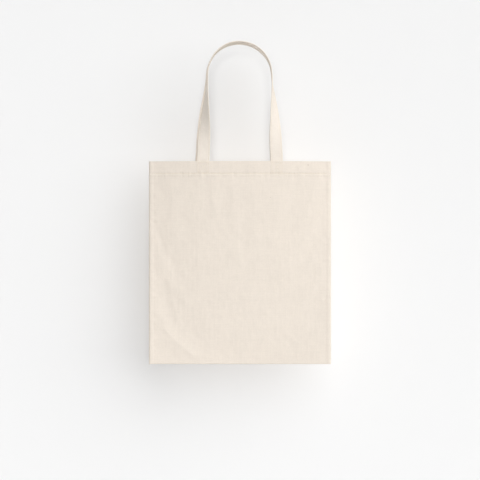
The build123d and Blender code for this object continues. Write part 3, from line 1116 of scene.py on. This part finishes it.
def make_stage(settings):
    """A pale wall close behind the bag, a pale floor below it, soft light and a long lens."""
    view_middle = Vector((0, 0, 0.259))
    view_width = 1.002
    distance = 3.2
    camera = bpy.data.objects.new("camera", bpy.data.cameras.new("camera"))
    sensor = 36  # millimetres, as the lens is
    camera.data.sensor_width = sensor
    camera.data.lens = sensor * distance / view_width
    camera.data.clip_end = 60
    camera.location = view_middle + Vector((0, -distance, 0))
    camera.rotation_euler = (pi / 2, 0, 0)
    bpy.context.scene.collection.objects.link(camera)
    bpy.context.scene.camera = camera

    wall_material = plain_material("matt_white_wall", settings.wall_colour, 1.0, clear_behind=True)
    floor_material = plain_material("pale_floor", linear("#eeeeee"), 0.9)
    wall_y, floor_z = 0.12, -2.20
    side, top, ahead = 4, 4, 6  # how far the wall and floor run from the bag
    across = ((-side, 0), (side, 0), (side, 1), (-side, 1))
    corners = {
        "wall": [(x, wall_y, top if high else floor_z) for x, high in across],
        "floor": [(x, ahead if far else -ahead, floor_z) for x, far in across],
    }
    for name, material in (("wall", wall_material), ("floor", floor_material)):
        mesh = bpy.data.meshes.new(name)
        mesh.from_pydata(corners[name], [], [(0, 1, 2, 3)])
        mesh.materials.append(material)
        surface = new_object(name, mesh)

    # The key comes from the upper right of the front, and throws the shadow down to the left. The
    # front fill's own shadow hides behind the bag. The rear fill passes through the wall's back.
    # Each has the direction towards it, its strength and how wide it looks.
    suns = {
        "soft_key": ((0.118, -0.140, 0.112), 2.13, settings.light_size),
        "front_fill": ((0, -1, 0), 0.92, radians(14)),
        "rear_fill": ((-0.5, 1, 0.3), 0.55, radians(40)),
    }
    for name, (toward, strength, angle) in suns.items():
        light = bpy.data.lights.new(name, "SUN")
        light.energy = strength
        light.angle = angle
        sun = new_object(name, light)
        sun.rotation_euler = Vector(toward).to_track_quat("Z", "Y").to_euler()

    # The room looks as pale as the wall, and adds only a little light of its own.
    world = bpy.data.worlds.new("pale_room")
    world.use_nodes = True
    tree = world.node_tree
    seen = add_node(tree, "ShaderNodeLightPath").outputs["Is Camera Ray"]
    room_light, room_look = 0.24, 1.0
    glow = add_node(tree, "ShaderNodeMapRange", {"Value": seen, "To Min": room_light, "To Max": room_look})
    background = tree.nodes["Background"]
    background.inputs["Color"].default_value = linear("#f7f7f7")
    tree.links.new(glow.outputs[0], background.inputs["Strength"])
    bpy.context.scene.world = world
    bpy.context.scene.view_settings.view_transform = "Standard"
    bpy.context.scene.view_settings.look = "None"


# ---------------------------------------------------------------- the add-on


def size_property(name, description, default):
    """A length that the user can change, in metres."""
    return bpy.props.FloatProperty(
        name=name, description=description, default=default, subtype="DISTANCE", unit="LENGTH", precision=5
    )


def colour_property(name, description, colour):
    """A colour that the user can change, whose default is sRGB hex."""
    return bpy.props.FloatVectorProperty(
        name=name, description=description, default=linear(colour), subtype="COLOR", size=4, min=0, max=1
    )


class ToteClothSettings(bpy.types.PropertyGroup):
    """The bag's cloth"""

    canvas_colour: colour_property("Canvas colour", "Colour of the unbleached canvas", "#e9dfd3")
    strap_colour: colour_property("Strap colour", "Colour of the folded strap cloth", "#ece3d8")
    weave: size_property("Weave", "Spacing of the threads as they are drawn", 0.9 * MM)
    wrinkle_depth: bpy.props.FloatProperty(
        name="Wrinkle depth",
        description="Share of the hanging cloth's buckling to keep",
        default=0.27,
        min=0,
        max=1,
        subtype="FACTOR",
    )
    slack: bpy.props.FloatProperty(
        name="Slack",
        description="How much larger the cloth is than the space it hangs in",
        default=0.006,
        min=0,
        max=0.05,
        subtype="FACTOR",
    )


class ToteSewingSettings(bpy.types.PropertyGroup):
    """The bag's stitches"""

    thread_colour: colour_property("Thread colour", "Colour of the sewing thread", "#e6dac8")
    overlock_colour: colour_property("Overlock colour", "Colour of the overlock thread", "#efe7da")
    pitch: size_property("Stitch length", "From one stitch to the next", 3.2 * MM)
    box_pitch: size_property("Box stitch length", "The same, in the boxes on the strap ends", 2.9 * MM)
    overlock_pitch: size_property("Overlock spacing", "From one overlock loop to the next", 1.9 * MM)


class ToteStageSettings(bpy.types.PropertyGroup):
    """The stage round the bag"""

    wall_colour: colour_property("Wall colour", "Colour of the wall behind the bag", "#efefef")
    light_size: bpy.props.FloatProperty(
        name="Light size",
        description="How wide the key light looks from the bag",
        default=radians(80),
        subtype="ANGLE",
        unit="ROTATION",
    )


def shared_material(name, make, **settings):
    """The named material, made once."""
    return bpy.data.materials.get(name) or make(name, **settings)


def canvas(scene):
    """The body's cloth."""
    cloth = scene.tote_cloth
    return shared_material(
        "unbleached_cotton_canvas",
        canvas_material,
        colour=cloth.canvas_colour,
        weave=cloth.weave,
        slub_strength=0.030,
        fleck_share=0.05,
    )


def strap_cloth(scene):
    """The straps' cloth, which is more even."""
    cloth = scene.tote_cloth
    return shared_material(
        "folded_cotton_strap",
        canvas_material,
        colour=cloth.strap_colour,
        weave=cloth.weave,
        slub_strength=0.022,
        fleck_share=0.02,
    )


def sewing_thread(scene):
    """The thread of every row of stitches."""
    colour = scene.tote_sewing.thread_colour
    return shared_material("spun_polyester_thread", thread_material, colour=colour, twist=0.5 * MM)


def overlock_thread(scene):
    """The bulkier thread round the seams' raw edges."""
    colour = scene.tote_sewing.overlock_colour
    return shared_material("textured_overlock_thread", thread_material, colour=colour, twist=0.7 * MM)


class ToteBodyCloth(bpy.types.Operator):
    """Hangs the body's cloth and builds both panels with their hems"""

    bl_idname = "tote.body_cloth"
    bl_label = "Body Cloth"

    def execute(self, context):
        cloth = context.scene.tote_cloth
        shape_cloth(cloth.wrinkle_depth, cloth.slack)
        make_body_cloth(canvas(context.scene))
        return {"FINISHED"}


class ToteBottomFold(bpy.types.Operator):
    """Builds the cloth's turn round the bottom"""

    bl_idname = "tote.bottom_fold"
    bl_label = "Bottom Fold"

    def execute(self, context):
        make_bottom_fold(canvas(context.scene))
        return {"FINISHED"}


class ToteHemStitches(bpy.types.Operator):
    """Sews the hems"""

    bl_idname = "tote.hem_stitches"
    bl_label = "Hem Stitches"

    def execute(self, context):
        make_hem_stitches(sewing_thread(context.scene), context.scene.tote_sewing.pitch)
        return {"FINISHED"}


class ToteSideSeams(bpy.types.Operator):
    """Builds the turned-in allowances of both side seams"""

    bl_idname = "tote.side_seams"
    bl_label = "Side Seams"

    def execute(self, context):
        make_side_seams(canvas(context.scene))
        return {"FINISHED"}


class ToteSeamThreads(bpy.types.Operator):
    """Sews both side seams and overlocks their raw edges"""

    bl_idname = "tote.seam_threads"
    bl_label = "Seam Stitches and Overlock"

    def execute(self, context):
        sewing = context.scene.tote_sewing
        make_seam_stitches(sewing_thread(context.scene), sewing.pitch)
        make_overlock(overlock_thread(context.scene), sewing.overlock_pitch)
        return {"FINISHED"}


class ToteStraps(bpy.types.Operator):
    """Builds both handles, each one strap with its sewn-down ends"""

    bl_idname = "tote.straps"
    bl_label = "Straps"

    def execute(self, context):
        make_straps(strap_cloth(context.scene))
        return {"FINISHED"}


class ToteStrapStitches(bpy.types.Operator):
    """Sews the rows along each strap, and the boxes that hold its ends"""

    bl_idname = "tote.strap_stitches"
    bl_label = "Strap and Box Stitches"

    def execute(self, context):
        sewing = context.scene.tote_sewing
        make_strap_stitches(sewing_thread(context.scene), sewing.pitch)
        make_box_stitches(sewing_thread(context.scene), sewing.box_pitch)
        return {"FINISHED"}


class ToteStage(bpy.types.Operator):
    """Builds the wall, floor, lights and camera"""

    bl_idname = "tote.stage"
    bl_label = "Stage"

    def execute(self, context):
        make_stage(context.scene.tote_stage)
        return {"FINISHED"}


class TotePanel(bpy.types.Panel):
    """Lists the bag's settings and the steps that build it"""

    bl_idname = "VIEW3D_PT_tote"
    bl_label = "Tote Bag"
    bl_space_type = "VIEW_3D"
    bl_region_type = "UI"
    bl_category = "Tote Bag"

    def draw(self, context):
        for place, group in GROUPS.items():
            for name in group.__annotations__:
                self.layout.prop(getattr(context.scene, place), name)
        for step in STEPS:
            self.layout.operator(step.bl_idname)


GROUPS = {
    "tote_cloth": ToteClothSettings,
    "tote_sewing": ToteSewingSettings,
    "tote_stage": ToteStageSettings,
}
STEPS = (
    ToteStage,
    ToteBodyCloth,
    ToteBottomFold,
    ToteHemStitches,
    ToteSideSeams,
    ToteSeamThreads,
    ToteStraps,
    ToteStrapStitches,
)
CLASSES = (*GROUPS.values(), *STEPS, TotePanel)


def register():
    for cls in CLASSES:
        bpy.utils.register_class(cls)
    for place, group in GROUPS.items():
        setattr(bpy.types.Scene, place, bpy.props.PointerProperty(type=group))


def unregister():
    for place in GROUPS:
        delattr(bpy.types.Scene, place)
    for cls in reversed(CLASSES):
        bpy.utils.unregister_class(cls)


def main():
    register()
    bpy.ops.tote.stage()
    bpy.ops.tote.body_cloth()
    bpy.ops.tote.bottom_fold()
    bpy.ops.tote.hem_stitches()
    bpy.ops.tote.side_seams()
    bpy.ops.tote.seam_threads()
    bpy.ops.tote.straps()
    bpy.ops.tote.strap_stitches()


if __name__ == "__main__":
    main()
